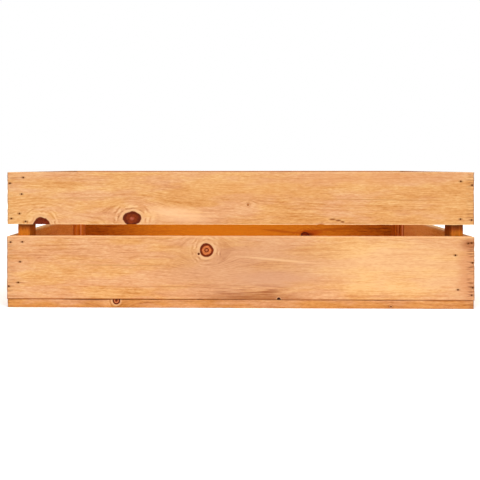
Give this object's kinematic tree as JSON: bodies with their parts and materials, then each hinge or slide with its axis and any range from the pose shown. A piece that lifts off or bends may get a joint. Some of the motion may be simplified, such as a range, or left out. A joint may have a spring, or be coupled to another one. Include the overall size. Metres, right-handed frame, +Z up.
{
  "type": "slatted wooden crate",
  "caption": "Low open-topped crate of nailed pine boards, with a gap between the boards of each wall, posts in its corners and a slatted floor.",
  "frame": {"origin": "middle of the underside, on the surface that the crate stands on", "axes": "+X along the crate's length, +Y from the front long side to the back one, +Z up"},
  "size_m": [0.56, 0.31, 0.163],
  "materials": {
    "side_boards": "sawn pine boards with a thin satin honey stain",
    "end_boards": "sawn pine boards with a thin satin honey stain",
    "corner_posts": "planed pine posts with a thin satin honey stain",
    "floor_boards": "sawn pine boards with a thin satin honey stain",
    "nails": "brad nails, oxidised dark"
  },
  "bodies": {
    "root": {"front_upper_board": "side_boards", "front_lower_board": "side_boards", "back_upper_board": "side_boards", "back_lower_board": "side_boards", "left_upper_board": "end_boards", "left_lower_board": "end_boards", "right_upper_board": "end_boards", "right_lower_board": "end_boards", "front_left_post": "corner_posts", "front_right_post": "corner_posts", "back_left_post": "corner_posts", "back_right_post": "corner_posts", "floor_board_1": "floor_boards", "floor_board_2": "floor_boards", "floor_board_3": "floor_boards", "floor_board_4": "floor_boards", "front_upper_nails": "nails", "front_lower_nails": "nails", "back_upper_nails": "nails", "back_lower_nails": "nails", "left_upper_nails": "nails", "left_lower_nails": "nails", "right_upper_nails": "nails", "right_lower_nails": "nails", "floor_1_nails": "nails", "floor_2_nails": "nails", "floor_3_nails": "nails", "floor_4_nails": "nails"}
  },
  "joints": []
}
